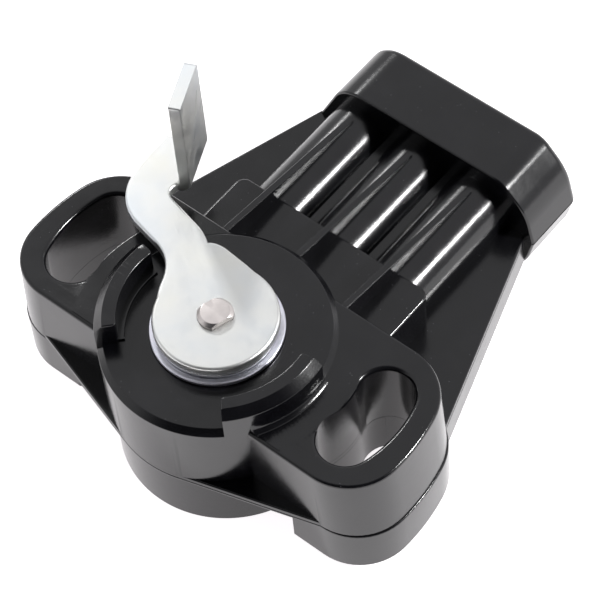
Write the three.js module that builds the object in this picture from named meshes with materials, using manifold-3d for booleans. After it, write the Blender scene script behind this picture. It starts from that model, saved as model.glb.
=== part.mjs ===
// Rotary throttle position sensor: a steel lever turns a shaft in a black
// two-piece housing with slotted mounting ears and a three-way connector.
// Millimetres, +Z up. The origin is where the shaft axis meets the flat base
// of the round housing. +X points to the right ear, +Y to the connector.
import * as THREE from "three";
import { mergeVertices } from "three/addons/utils/BufferGeometryUtils.js";
import Module from "manifold-3d";

const wasm = await Module();
wasm.setup();

// ---- driving dimensions ----
const PARTING = 17.3; // height of the plane where the two housing halves meet
const SEAM = 0.1; // opening between the two halves

const DRUM_R = 26.4; // upper round housing
const DRUM_TOP = PARTING + 21;
const DRUM_CHAMFER = 1.4;
const DRUM_CAVITY_R = 21.5;
const DRUM_CAVITY_TOP = PARTING + 13;
const COVER_R = 25.4; // lower round housing
const COVER_FLOOR = 2.5;
const COVER_CAVITY_R = 22.0;

const EAR_TOP = PARTING + 19.5;
const EAR_BOTTOM = PARTING - 13;
const EAR_REACH = 51.6; // shaft axis to the ear's outer edge, at the top
const EAR_BACK = 22.3;
const EAR_FRONT = -15.7;
const EAR_DRAFT = 1.2; // how much wider the ear is at the parting plane
const SLOT_X = 39.5;
const SLOT_Y = 2.9;
const SLOT_ARC_R = 24.8; // centre line of the curved slot
const SLOT_HALF_WIDTH = 6.4;
const SLOT_HALF_ANGLE = 0.282;

const POST_TOP = PARTING + 27.8; // the two arched end stops of the lever
const POST_INNER_R = 21.4;
const POST_CHAMFER = 2;

const FLANGE = 1.2; // plate above the parting plane
const LIP = 0.8; // matching plate below it
const PLATE_Y = [23.4, 72.0]; // tapering rear plate, where it starts and ends
const PLATE_HALF = [45.4, 29.8]; // its half widths at those two places
const TRAY_BOTTOM = PARTING - 8.8;

const DECK_HALF = 27.1; // raised deck behind the drum
const DECK_TOP = PARTING + 12;
const DECK_END = 39.8;
const TUBE_PITCH = 17;
const TUBE_R = 7.9;
const TUBE_Z = PARTING + 4;
const TUBE_END = 70.5;
const WEB_TOP = PARTING + 7;
const RIB_WIDTH = 1.3;

const SHROUD_BACK = 70.5;
const SHROUD_FRONT = 87.5;
const SHROUD_HALF_HEIGHT = 16.5;
const SHROUD_WALL = 2.6;
const SHROUD_FLOOR = 74; // where the connector cavity starts

const SHAFT_R = 4;
const SHAFT_FLAT = 3; // half the distance across the two flats
const FLAT_TURN = 71; // the flats' direction in plan at rest, in degrees
const SHAFT_TOP = PARTING + 28.1;
const SHAFT_BOTTOM = 4.4;
const BUSHING_R = 6;
const RUNNING = 0.05; // radial clearance of the shaft in its bushings

const LEVER_BOTTOM = PARTING + 24;
const LEVER_TOP = PARTING + 26.6;
const LEVER_R = 13.9;
const TAB_TOP = PARTING + 54;
const TAB_THICK = 2.8;

const BOARD_Z = [11.4, 13.0];
const ROTOR_DISC_Z = [17.6, 19.6];
const TERMINAL_Z = PARTING + 4.5;
const BLADE = [6.3, 0.8];
const LEG_Y = 35; // where the terminals' legs stand on the board

const SCREW_PLACES = [
  [-29.4, 6, EAR_BOTTOM],
  [29.4, 6, EAR_BOTTOM],
  [-8.5, 60, TRAY_BOTTOM],
  [8.5, 60, TRAY_BOTTOM],
];

// ---- solids ----

// A closed three.js geometry as a manifold-3d solid.
function solid(geometry) {
  const plain = geometry.clone();
  plain.deleteAttribute("normal");
  plain.deleteAttribute("uv");
  const merged = mergeVertices(plain, 1e-4);
  return new wasm.Manifold(
    new wasm.Mesh({
      numProp: 3,
      vertProperties: new Float32Array(merged.attributes.position.array),
      triVerts: new Uint32Array(merged.index.array),
    }),
  );
}

// A manifold-3d solid as a three.js geometry.
function geometryOf(body) {
  const mesh = body.getMesh();
  const geometry = new THREE.BufferGeometry();
  geometry.setAttribute(
    "position",
    new THREE.BufferAttribute(new Float32Array(mesh.vertProperties), 3),
  );
  geometry.setIndex(new THREE.BufferAttribute(new Uint32Array(mesh.triVerts), 1));
  geometry.computeVertexNormals();
  return geometry;
}

function join(...bodies) {
  return bodies.reduce((a, b) => a.add(b));
}

function box(x0, x1, y0, y1, z0, z1) {
  const g = new THREE.BoxGeometry(x1 - x0, y1 - y0, z1 - z0);
  g.translate((x0 + x1) / 2, (y0 + y1) / 2, (z0 + z1) / 2);
  return solid(g);
}

// A plan outline raised from z0 to z1.
function prism(shape, z0, z1, curveSegments = 12) {
  const g = new THREE.ExtrudeGeometry(shape, {
    depth: z1 - z0,
    bevelEnabled: false,
    curveSegments,
  });
  g.translate(0, 0, z0);
  return solid(g);
}

// An outline drawn in X and Z, drawn out along Y.
function alongY(shape, y0, y1, curveSegments = 10) {
  const g = new THREE.ExtrudeGeometry(shape, {
    depth: y1 - y0,
    bevelEnabled: false,
    curveSegments,
  });
  g.rotateX(Math.PI / 2);
  g.translate(0, y1, 0);
  return solid(g);
}

// A side view drawn in Y and Z, drawn out along X about x.
function alongX(points, x, width) {
  const g = new THREE.ExtrudeGeometry(polygon(points), {
    depth: width,
    bevelEnabled: false,
  });
  g.rotateX(Math.PI / 2);
  g.rotateZ(Math.PI / 2);
  g.translate(x - width / 2, 0, 0);
  return solid(g);
}

// A [radius, z] profile turned about the Z axis.
function turned(profile, segments = 48) {
  const points = profile.map(([r, z]) => new THREE.Vector2(r, z));
  const g = new THREE.LatheGeometry(points, segments);
  g.rotateX(Math.PI / 2);
  return solid(g);
}

function disc(r, z0, z1, segments = 48) {
  return turned([[0, z0], [r, z0], [r, z1], [0, z1]], segments);
}

function ring(rOut, rIn, z0, z1, segments = 48) {
  const wall = [[rIn, z0], [rOut, z0], [rOut, z1], [rIn, z1], [rIn, z0]];
  return turned(wall, segments);
}

function post(x, y, r, z0, z1, segments = 16) {
  return disc(r, z0, z1, segments).translate([x, y, 0]);
}

function polygon(points) {
  return new THREE.Shape(points.map(([x, y]) => new THREE.Vector2(x, y)));
}

// A ring sector in plan, angles in degrees.
function sector(rOut, rIn, from, to) {
  const a = THREE.MathUtils.degToRad(from);
  const b = THREE.MathUtils.degToRad(to);
  const shape = new THREE.Shape();
  shape.absarc(0, 0, rOut, a, b, false);
  shape.absarc(0, 0, rIn, b, a, true);
  shape.closePath();
  return shape;
}

// The solid between two outlines with the same number of points.
function loft(lower, z0, upper, z1) {
  const n = lower.length;
  const positions = [];
  lower.forEach((p) => positions.push(p.x, p.y, z0));
  upper.forEach((p) => positions.push(p.x, p.y, z1));
  const index = [];
  for (let i = 0; i < n; i++) {
    const j = (i + 1) % n;
    index.push(i, j, n + j, i, n + j, n + i);
  }
  for (const [a, b, c] of THREE.ShapeUtils.triangulateShape(upper, [])) {
    index.push(n + a, n + b, n + c);
  }
  for (const [a, b, c] of THREE.ShapeUtils.triangulateShape(lower, [])) {
    index.push(c, b, a);
  }
  const g = new THREE.BufferGeometry();
  g.setAttribute("position", new THREE.Float32BufferAttribute(positions, 3));
  g.setIndex(index);
  return solid(g);
}

// ---- housing ----

// Plan outline of both ears: two flat sides, round ends about the shaft
// axis, and four rounded corners. Grow widens it all round.
function earOutline(grow) {
  const reach = EAR_REACH + grow;
  const corners = [
    [EAR_BACK + grow / 2, 14 + grow / 2],
    [EAR_FRONT, 13],
  ];
  const rounds = corners.map(([y, f]) => {
    const cy = y - Math.sign(y) * f;
    const cx = Math.sqrt((reach - f) ** 2 - cy ** 2);
    return { cx, cy, f, angle: Math.atan2(cy, cx) };
  });
  const [back, front] = rounds;
  const shape = new THREE.Shape();
  shape.absarc(front.cx, front.cy, front.f, -Math.PI / 2, front.angle, false);
  shape.absarc(0, 0, reach, front.angle, back.angle, false);
  shape.absarc(back.cx, back.cy, back.f, back.angle, Math.PI / 2, false);
  shape.absarc(-back.cx, back.cy, back.f, Math.PI / 2, Math.PI - back.angle, false);
  shape.absarc(0, 0, reach, Math.PI - back.angle, Math.PI - front.angle, false);
  shape.absarc(-front.cx, front.cy, front.f, Math.PI - front.angle, 1.5 * Math.PI, false);
  const points = shape.getPoints(8);
  return points.filter((p, i) => i === 0 || p.distanceTo(points[i - 1]) > 1e-3);
}

// The flat plate outline: the hull of the drum and the ears' front corners.
function flangeFront(r, y) {
  const corner = new THREE.Vector2(40, y);
  const far = corner.length();
  const angle = Math.atan2(corner.y, corner.x) - Math.acos(r / far);
  const tx = r * Math.cos(angle);
  const ty = r * Math.sin(angle);
  return polygon([[40, y], [40, 10], [-40, 10], [-40, y], [-tx, ty], [tx, ty]].reverse());
}

function rearPlate(inset, y0, y1) {
  const slope = (PLATE_HALF[1] - PLATE_HALF[0]) / (PLATE_Y[1] - PLATE_Y[0]);
  const half = (y) => PLATE_HALF[0] + slope * (y - PLATE_Y[0]) - inset;
  return polygon([[-half(y0), y0], [half(y0), y0], [half(y1), y1], [-half(y1), y1]]);
}

// The connector shroud's outline in X and Z: one side is fuller than the
// other, so the plug fits only one way round.
function shroudOutline(wall) {
  const h = SHROUD_HALF_HEIGHT - wall;
  const right = [[32.6, 0], [32.2, 4], [30.4, 9], [27.6, 13.2], [24, 15.6], [21, 16.5]];
  const left = [
    [-30, 0], [-29.6, 1.5], [-26.8, 7.5], [-25.05, 11.3], [-22.9, 14.2], [-20.3, 15.8], [-16.9, 16.5],
  ];
  const fit = ([x, z]) => [
    x - Math.sign(x) * wall * (z > 16 ? 0.4 : 1),
    (z * h) / SHROUD_HALF_HEIGHT,
  ];
  const r = right.map(fit);
  const l = left.map(fit);
  const lower = (side) => side.slice(1).map(([x, z]) => [x, -z]);
  const around = [
    ...r,
    ...l.slice().reverse(),
    ...lower(l),
    ...lower(r).reverse(),
  ];
  return polygon(around.map(([x, z]) => [x, z + PARTING]));
}

function slotOutline(side, extra) {
  const cx = side * (SLOT_X - SLOT_ARC_R);
  const w = SLOT_HALF_WIDTH + extra;
  const a = SLOT_HALF_ANGLE;
  const points = [];
  const at = (r, t) => [cx + side * r * Math.cos(t), SLOT_Y + r * Math.sin(t)];
  for (let i = 0; i <= 6; i++) points.push(at(SLOT_ARC_R + w, -a + (2 * a * i) / 6));
  const cap = (t, dir) => {
    const [ex, ey] = at(SLOT_ARC_R, t);
    for (let i = 1; i < 8; i++) {
      const u = t + (dir * Math.PI * i) / 8;
      points.push([ex + side * w * Math.cos(u), ey + w * Math.sin(u)]);
    }
  };
  cap(a, 1);
  for (let i = 6; i >= 0; i--) points.push(at(SLOT_ARC_R - w, -a + (2 * a * i) / 6));
  for (let i = 7; i > 0; i--) {
    const u = -a - (Math.PI * i) / 8;
    const [ex, ey] = at(SLOT_ARC_R, -a);
    points.push([ex + side * w * Math.cos(u), ey + w * Math.sin(u)]);
  }
  return polygon(side > 0 ? points : points.reverse());
}

// The arched end stops that stand on the edge of the drum.
function endStops() {
  const edge = turned([
    [0, EAR_TOP - 2],
    [DRUM_R, EAR_TOP - 2],
    [DRUM_R, POST_TOP - POST_CHAMFER],
    [DRUM_R - POST_CHAMFER, POST_TOP],
    [0, POST_TOP],
  ]);
  const right = prism(sector(DRUM_R + 2, POST_INNER_R, -47, 9), EAR_TOP - 1, POST_TOP + 1, 10);
  const left = prism(sector(DRUM_R + 2, POST_INNER_R, 170, 226), EAR_TOP - 1, POST_TOP + 1, 10);
  return edge.intersect(right.add(left));
}

function tubesAndRibs() {
  const bodies = [];
  for (const x of [-TUBE_PITCH, 0, TUBE_PITCH]) {
    const tube = new THREE.CylinderGeometry(TUBE_R, TUBE_R, TUBE_END - 30, 28);
    tube.translate(x, (TUBE_END + 30) / 2, TUBE_Z);
    bodies.push(solid(tube));
    const crest = TUBE_Z + TUBE_R;
    const side = [[20, EAR_TOP - 0.4], [67.3, crest + 0.6], [68.2, crest - 2], [20, crest - 2]];
    bodies.push(alongX(side, x, RIB_WIDTH));
  }
  for (const x of [-TUBE_PITCH / 2, TUBE_PITCH / 2]) {
    bodies.push(box(x - 1.3, x + 1.3, 38, 71, PARTING, WEB_TOP));
  }
  // fill under the tubes down to the plate
  const half = TUBE_PITCH + TUBE_R;
  bodies.push(box(-half, half, 38, 71, PARTING, TUBE_Z));
  return join(...bodies);
}

function upperHousing() {
  const drum = turned([
    [0, PARTING],
    [DRUM_R, PARTING],
    [DRUM_R, DRUM_TOP - DRUM_CHAMFER],
    [DRUM_R - DRUM_CHAMFER, DRUM_TOP],
    [0, DRUM_TOP],
  ], 64);
  const ears = loft(earOutline(EAR_DRAFT), PARTING, earOutline(0), EAR_TOP);
  const flange = prism(flangeFront(DRUM_R, EAR_FRONT), PARTING, PARTING + FLANGE);
  const plate = prism(rearPlate(0, 18, 71.5), PARTING, PARTING + FLANGE);
  const deck = box(-DECK_HALF, DECK_HALF, 15, DECK_END, PARTING, DECK_TOP);
  const shroud = alongY(shroudOutline(0), SHROUD_BACK, SHROUD_FRONT);
  const above = box(-60, 60, -40, 100, PARTING, 80);
  let body = join(drum, ears, flange, plate, deck, tubesAndRibs(), shroud, endStops());
  body = body.intersect(above);

  const low = PARTING - 1;
  body = body.subtract(disc(DRUM_CAVITY_R, low, DRUM_CAVITY_TOP));
  body = body.subtract(disc(BUSHING_R + RUNNING, low, PARTING + 30, 32));
  body = body.subtract(disc(7.3, PARTING + 18.6, PARTING + 30, 32));
  body = body.subtract(box(-22.5, 22.5, 10, LEG_Y + 2.5, low, PARTING + 8));
  for (const x of [-TUBE_PITCH, 0, TUBE_PITCH]) {
    body = body.subtract(box(x - 4, x + 4, 34, 66, PARTING + 2, PARTING + 8));
    body = body.subtract(bladeSlot(x));
  }
  body = body.subtract(alongY(shroudOutline(SHROUD_WALL), SHROUD_FLOOR, SHROUD_FRONT + 2));
  for (const side of [-1, 1]) {
    body = body.subtract(prism(slotOutline(side, 0), PARTING - 5, EAR_TOP + 5));
  }
  for (const [x, y] of SCREW_PLACES) {
    body = body.subtract(post(x, y, 1.45, low, PARTING + 5.6));
  }
  return body;
}

// The opening a terminal blade passes through.
function bladeSlot(x) {
  const w = BLADE[0] / 2 + 0.15;
  const t = BLADE[1] / 2 + 0.15;
  return box(x - w, x + w, 64, SHROUD_FLOOR + 3, TERMINAL_Z - t, TERMINAL_Z + t);
}

function lowerCover() {
  const top = PARTING - SEAM;
  const drum = turned([[0, 0], [COVER_R - 0.5, 0], [COVER_R, 0.5], [COVER_R, top], [0, top]], 64);
  const wide = earOutline(EAR_DRAFT + 0.4);
  const blocks = loft(wide, EAR_BOTTOM, wide, top);
  const keep = [[27.5, -9], [32.5, -17], [60, -17], [60, 30], [27.5, 30]];
  const mirrored = keep.map(([x, y]) => [-x, y]).reverse();
  const ears = blocks.intersect(
    join(prism(polygon(keep), 0, PARTING), prism(polygon(mirrored), 0, PARTING)),
  );
  const lip = prism(flangeFront(DRUM_R, EAR_FRONT), top - LIP, top);
  const tray = prism(rearPlate(0, 18, 71.5), TRAY_BOTTOM, top);
  const web = box(-34, 34, -4, 20, TRAY_BOTTOM, top);
  const shroud = alongY(shroudOutline(0), SHROUD_BACK, SHROUD_FRONT);
  const below = box(-60, 60, -40, 100, -1, top);
  let body = join(drum, ears, lip, tray, web, shroud).intersect(below);

  body = body.subtract(disc(COVER_CAVITY_R, COVER_FLOOR, PARTING + 1));
  body = body.subtract(box(-24, 24, 10, 66, TRAY_BOTTOM + 2.3, PARTING + 1));
  body = body.subtract(alongY(shroudOutline(SHROUD_WALL), SHROUD_FLOOR, SHROUD_FRONT + 2));
  for (const side of [-1, 1]) {
    body = body.subtract(prism(slotOutline(side, 0), 0, PARTING + 1));
  }
  body = body.add(disc(8, 1, 10.9, 32));
  body = body.subtract(disc(BUSHING_R + RUNNING, 3.9, 20, 32));
  for (const x of [-8.5, 8.5]) {
    body = body.add(post(x, 60, 3.8, TRAY_BOTTOM + 1, top));
  }
  for (const [x, y, z] of SCREW_PLACES) {
    body = body.subtract(post(x, y, 1.6, 0, PARTING + 1));
    body = body.subtract(post(x, y, 3.2, -1, z + 2.1));
  }
  return body.subtract(sealRing(0.1, 0.05));
}

// The seal between the halves, in a groove of the lower cover.
function sealRing(extra, drop) {
  const z0 = PARTING - 1.3 - extra;
  const z1 = PARTING - SEAM - 0.05 + extra + drop;
  const outer = disc(23.9 + extra, z0, z1).add(
    box(-25.9 - extra, 25.9 + extra, 8 - extra, 67.7 + extra, z0, z1),
  );
  const inner = disc(22.9 - extra, z0 - 1, z1 + 1).add(
    box(-24.9 + extra, 24.9 - extra, 9 + extra, 66.7 - extra, z0 - 1, z1 + 1),
  );
  return outer.subtract(inner);
}

// ---- lever, shaft and rotor ----

// A round bar with two flats, for the shaft's upper end and its holes.
function doubleD(r, flat, z0, z1) {
  const between = box(-r - 1, r + 1, -flat, flat, z0 - 1, z1 + 1).rotate([0, 0, FLAT_TURN]);
  return disc(r, z0, z1, 40).intersect(between);
}

function shaft() {
  const lower = turned([
    [0, SHAFT_BOTTOM],
    [SHAFT_R - 0.5, SHAFT_BOTTOM],
    [SHAFT_R, SHAFT_BOTTOM + 0.5],
    [SHAFT_R, 27.3],
    [3.3, 27.3],
    [3.3, 28.3],
    [SHAFT_R, 28.3],
    [SHAFT_R, LEVER_BOTTOM - 1.4],
    [0, LEVER_BOTTOM - 1.4],
  ], 40);
  const end = doubleD(SHAFT_R, SHAFT_FLAT, LEVER_BOTTOM - 1.5, SHAFT_TOP);
  const bevel = turned([
    [0, 30],
    [SHAFT_R + 1, 30],
    [SHAFT_R + 1, SHAFT_TOP - 1.3],
    [SHAFT_R - 0.8, SHAFT_TOP],
    [0, SHAFT_TOP],
  ], 40);
  return lower.add(end.intersect(bevel));
}

// Plan outline of the lever: the disc, the arm that leaves it to the left,
// and the pad that the tab is bent up from.
function leverOutline() {
  const s = new THREE.Shape();
  s.moveTo(-13.7, -2.4);
  s.quadraticCurveTo(-16.4, 5.2, -22.0, 6.5);
  s.lineTo(-31.0, 8.4);
  s.quadraticCurveTo(-38.2, 11.0, -39.5, 19.0);
  s.quadraticCurveTo(-40.3, 24.5, -40.3, 30.6);
  s.lineTo(-33.9, 33.4);
  s.lineTo(-29.0, 22.0);
  s.quadraticCurveTo(-30.3, 18.8, -27.6, 18.0);
  s.lineTo(-18.5, 15.9);
  s.quadraticCurveTo(-15.4, 15.0, -13.6, 13.6);
  s.quadraticCurveTo(-12.4, 14.8, -9.4, 14.7);
  s.lineTo(0, 13.9);
  s.closePath();
  return s;
}

function lever() {
  const plate = disc(LEVER_R, LEVER_BOTTOM, LEVER_TOP, 64).add(
    prism(leverOutline(), LEVER_BOTTOM, LEVER_TOP, 8),
  );
  // the tab, drawn as the side view of the bend and drawn out along its width
  const bend = 3.2;
  const t = LEVER_TOP - LEVER_BOTTOM;
  const side = [[-5, LEVER_BOTTOM]];
  for (let i = 0; i <= 5; i++) {
    const a = (Math.PI / 2) * (i / 5);
    side.push([-bend + bend * Math.sin(a), LEVER_BOTTOM + bend - bend * Math.cos(a)]);
  }
  side.push([0, TAB_TOP], [-TAB_THICK, TAB_TOP], [-TAB_THICK, LEVER_TOP + 0.4]);
  side.push([-TAB_THICK - 0.4, LEVER_TOP], [-5, LEVER_TOP]);
  const g = new THREE.ExtrudeGeometry(polygon(side), { depth: 12.4, bevelEnabled: false });
  g.rotateX(Math.PI / 2);
  g.translate(0, 12.4, 0);
  g.rotateZ(Math.atan2(0.41, 0.91));
  g.translate(-26.3, 22.8, 0);
  const hole = doubleD(SHAFT_R + RUNNING, SHAFT_FLAT + RUNNING, LEVER_BOTTOM - 1, LEVER_TOP + 1);
  return plate.add(solid(g)).subtract(hole);
}

function leverWasher() {
  const z0 = LEVER_BOTTOM - 1.2;
  const z1 = LEVER_BOTTOM - 0.3;
  const hole = doubleD(SHAFT_R + RUNNING, SHAFT_FLAT + RUNNING, z0 - 1, z1 + 1);
  return disc(13.6, z0, z1, 64).subtract(hole);
}

function retainingClip() {
  const clip = ring(6.6, 3.35, 27.45, 28.15, 32);
  return clip.subtract(box(-2.4, 2.4, 0, 9, 27, 29));
}

// The wiper carrier pressed on the shaft, with a spring lug on its rim.
function rotor() {
  const z = ROTOR_DISC_Z;
  const hub = disc(7.5, 13.7, 26.9, 32);
  const plate = disc(19, z[0], z[1], 48);
  const lug = prism(sector(19, 15.5, 250, 285), z[1] - 0.5, z[1] + 4);
  return join(hub, plate, lug).subtract(disc(SHAFT_R + RUNNING, 10, 30, 40));
}

// A sprung contact under the rotor, bent down to its resistor track.
function wiper(radius) {
  const z = ROTOR_DISC_Z[0] - 0.1;
  const tip = BOARD_Z[1] + 0.45;
  const side = [
    [-4, z], [-4, z - 0.35], [0, z - 0.35], [6.2, tip + 0.5], [7.2, tip],
    [8.2, tip + 0.3], [8.2, tip + 0.65], [7.2, tip + 0.4], [6.3, tip + 0.9], [0.2, z],
  ];
  return alongX(side, -radius, 1.8);
}

function returnSpring() {
  const turns = 3.5;
  const path = new THREE.CatmullRomCurve3(
    Array.from({ length: 71 }, (_, i) => {
      const a = (i / 70) * turns * 2 * Math.PI;
      return new THREE.Vector3(
        11.6 * Math.cos(a),
        11.6 * Math.sin(a),
        20.9 + (7.6 * i) / 70,
      );
    }),
  );
  const wire = new THREE.Shape();
  wire.absarc(0, 0, 0.8, 0, 2 * Math.PI, false);
  const g = new THREE.ExtrudeGeometry(wire, {
    steps: 90,
    extrudePath: path,
    bevelEnabled: false,
    curveSegments: 4,
  });
  return solid(g);
}

// ---- circuit and connector ----

function board() {
  const [z0, z1] = BOARD_Z;
  const plate = disc(21, z0, z1, 48).add(box(-20.5, 20.5, 12, LEG_Y + 6, z0, z1));
  return plate.subtract(disc(8.7, z0 - 1, z1 + 1, 32));
}

function track(rIn, rOut) {
  const z = BOARD_Z[1] + 0.02;
  return prism(sector(rOut, rIn, 20, 250), z, z + 0.15, 24);
}

// One terminal: a leg down to the board and a blade out to the connector.
function terminal(x) {
  const half = BLADE[0] / 2;
  const t = BLADE[1] / 2;
  const blade = box(x - half, x + half, LEG_Y, 82.5, TERMINAL_Z - t, TERMINAL_Z + t);
  const tip = box(x - half + 0.9, x + half - 0.9, 82, 84, TERMINAL_Z - t, TERMINAL_Z + t);
  const leg = box(x - 1.5, x + 1.5, LEG_Y, LEG_Y + 0.8, BOARD_Z[1] + 0.05, TERMINAL_Z);
  return join(blade, tip, leg);
}

// The soft seal that lies on the floor of the connector cavity.
function connectorSeal() {
  let body = alongY(shroudOutline(SHROUD_WALL + 0.4), SHROUD_FLOOR + 0.1, SHROUD_FLOOR + 2.1);
  for (const x of [-TUBE_PITCH, 0, TUBE_PITCH]) {
    body = body.subtract(bladeSlot(x));
  }
  return body;
}

function coverScrew(x, y, z) {
  const end = PARTING + 5.2 - z;
  const screw = turned([
    [0, 0.2],
    [2.2, 0.2],
    [2.7, 0.7],
    [2.7, 1.8],
    [1.4, 1.8],
    [1.4, end - 1],
    [0.7, end],
    [0, end],
  ], 16);
  const across = box(-1.6, 1.6, -0.35, 0.35, -1, 1.1);
  const along = box(-0.35, 0.35, -1.6, 1.6, -1, 1.1);
  return screw.subtract(across).subtract(along).translate([x, y, z]);
}

// ---- materials and the assembly ----

const nylon = (color) => new THREE.MeshStandardMaterial({ color, roughness: 0.3, metalness: 0 });
const metal = (color, roughness) =>
  new THREE.MeshStandardMaterial({ color, roughness, metalness: 1 });
const soft = (color) => new THREE.MeshStandardMaterial({ color, roughness: 0.8, metalness: 0 });

const group = new THREE.Group();

function place(name, body, material) {
  const mesh = new THREE.Mesh(geometryOf(body), material);
  mesh.name = name;
  group.add(mesh);
}

place("upper_housing", upperHousing(), nylon(0x0b0b0c));
place("lower_cover", lowerCover(), nylon(0x0b0b0c));
place("perimeter_seal", sealRing(0, 0), soft(0x7a2a1c));

place("lever_arm", lever(), metal(0xc9cdd0, 0.34));
place("lever_washer", leverWasher(), metal(0x9a9da0, 0.3));
place(
  "thrust_washer",
  ring(14.9, SHAFT_R + 0.3, DRUM_TOP + 0.3, DRUM_TOP + 1.5, 64),
  metal(0xc6c8d4, 0.35),
);
place("rotor_shaft", shaft(), metal(0xb9b0ac, 0.3));
place("shaft_seal", ring(7.2, SHAFT_R + 0.1, PARTING + 18.7, DRUM_TOP - 0.1, 32), soft(0x141414));
place("upper_bushing", ring(BUSHING_R, SHAFT_R + RUNNING, 28.6, 35.7, 40), metal(0xa9743a, 0.45));
place("lower_bushing", ring(BUSHING_R, SHAFT_R + RUNNING, 4.0, 10.7, 40), metal(0xa9743a, 0.45));
place("retaining_clip", retainingClip(), metal(0x6f7274, 0.4));
place("rotor", rotor(), nylon(0xd8d2c0));
place("wiper_inner", wiper(13), metal(0xc9a24a, 0.3));
place("wiper_outer", wiper(17), metal(0xc9a24a, 0.3));
place("return_spring", returnSpring(), metal(0x9ea2a5, 0.3));

place("resistor_board", board(), nylon(0x2f5a38));
place("track_inner", track(12, 14), soft(0x101012));
place("track_outer", track(16, 18), soft(0x101012));
place("terminal_left", terminal(-TUBE_PITCH), metal(0xcfc9b4, 0.25));
place("terminal_centre", terminal(0), metal(0xcfc9b4, 0.25));
place("terminal_right", terminal(TUBE_PITCH), metal(0xcfc9b4, 0.25));
place("connector_seal", connectorSeal(), soft(0x2a5f86));
SCREW_PLACES.forEach(([x, y, z], i) => {
  place(`cover_screw_${i + 1}`, coverScrew(x, y, z), metal(0x8d8f90, 0.35));
});

export default group;
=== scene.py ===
"""Rotary throttle position sensor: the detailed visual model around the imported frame.

Lengths are in millimetres until a mesh is made, and metres from there on. The frame is the
CAD's own: +Z up the shaft, +Y to the socket, origin on the shaft axis at the base.
"""

import math

import bpy
from mathutils import Matrix, Vector
from mathutils.geometry import tessellate_polygon


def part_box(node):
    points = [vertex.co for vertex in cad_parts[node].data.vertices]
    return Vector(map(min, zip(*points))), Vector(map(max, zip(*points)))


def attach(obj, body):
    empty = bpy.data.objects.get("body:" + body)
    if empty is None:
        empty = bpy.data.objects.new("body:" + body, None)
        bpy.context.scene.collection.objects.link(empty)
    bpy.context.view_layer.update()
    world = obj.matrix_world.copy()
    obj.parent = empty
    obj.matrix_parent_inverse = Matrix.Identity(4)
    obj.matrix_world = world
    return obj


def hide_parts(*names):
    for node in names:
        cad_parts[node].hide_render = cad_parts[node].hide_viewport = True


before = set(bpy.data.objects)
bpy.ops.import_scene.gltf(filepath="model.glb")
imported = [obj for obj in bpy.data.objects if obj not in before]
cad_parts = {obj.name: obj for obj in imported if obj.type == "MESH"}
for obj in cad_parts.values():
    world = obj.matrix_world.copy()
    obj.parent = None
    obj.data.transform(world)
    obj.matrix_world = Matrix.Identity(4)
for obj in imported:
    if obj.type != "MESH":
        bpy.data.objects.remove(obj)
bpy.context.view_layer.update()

MM = 0.001
scene = bpy.context.scene

# ---- sizes, in millimetres ----

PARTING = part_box("upper_housing")[0].z / MM  # where the two housing halves meet
SEAM = 0.1
DRUM_R, DRUM_TOP, DRUM_EDGE = 26.4, PARTING + 21, 1.4
COVER_R = 25.4
EAR_TOP, EAR_BOTTOM = PARTING + 19.5, PARTING - 13
EAR_REACH, EAR_BACK, EAR_FRONT = 51.6, 22.3, -15.7
EAR_DRAFT = 1.2
BOSS_R = 33.0
RIGHT_STOP, LEFT_STOP = (-47, 9), (170, 226)  # degrees about the shaft
SLOT_X, SLOT_Y, SLOT_ARC, SLOT_HALF, SLOT_ANGLE = 39.5, 2.9, 24.8, 6.4, 0.282
POST_TOP, POST_INNER = PARTING + 27.8, 21.4
FLANGE, LIP = 1.2, 0.8
TRAY_BOTTOM = PARTING - 8.8
DECK_HALF, DECK_TOP, DECK_END = 27.1, PARTING + 12, 39.8
PITCH, TUBE_R, TUBE_Z = 17.0, 7.9, PARTING + 4
SHROUD_BACK, SHROUD_FRONT, SHROUD_FLOOR, SHROUD_WALL = 70.5, 87.5, 74.0, 2.6
SHAFT_R, SHAFT_FLAT, FLAT_TURN = 4.0, 3.0, 71.0
SHAFT_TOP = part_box("rotor_shaft")[1].z / MM
LEVER_LOW, LEVER_TOP, LEVER_R = PARTING + 24, PARTING + 26.6, 13.9
TAB_WIDTH, TAB_THICK, TAB_BEND = 13.6, 2.8, 3.2
FLANGE_X, FLANGE_Y = 40.0, 10  # where the parting flange runs into the ears
REAR_Y, REAR_HALF = (23.4, 72.0), (45.4, 29.8)  # the rear plate's half widths at two places
SHROUD_HALF = 16.5  # half the socket's height
CAVITY_R, CAVITY_RISE = 21.5, 13
COVER_CAVITY_R, COVER_FLOOR = 22, 2.5
BUSHING_BORE, SEAL_BORE = 6.05, 7.3
GROOVE_OUTER, GROOVE_INNER, GROOVE_FLOOR = 24.0, 22.8, 15.9  # the perimeter seal's groove
PILOT_R, SCREW_HOLE_R, SCREW_HEAD_R = 1.45, 1.6, 3.2
BLADE_END, BLADE_CLEARANCE = 84, 0.15
CREASE_ANGLE = 32  # degrees: sharper edges than this stay sharp
SLOT_STEP = 0.02  # how far the slot cuts stay inside the ears' own slot walls
TERMINAL_Z, BLADE_HALF, BLADE_THICK, LEG_Y = PARTING + 4.5, 3.15, 0.8, 35.0
TAB_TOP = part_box("lever_arm")[1].z / MM
SCREWS = [(-29.4, 6, EAR_BOTTOM), (29.4, 6, EAR_BOTTOM), (-8.5, 60, TRAY_BOTTOM), (8.5, 60, TRAY_BOTTOM)]


# ---- mesh tools ----


def area(points):
    n = len(points)
    return 0.5 * sum(
        points[i][0] * points[(i + 1) % n][1] - points[(i + 1) % n][0] * points[i][1]
        for i in range(n)
    )


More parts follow.
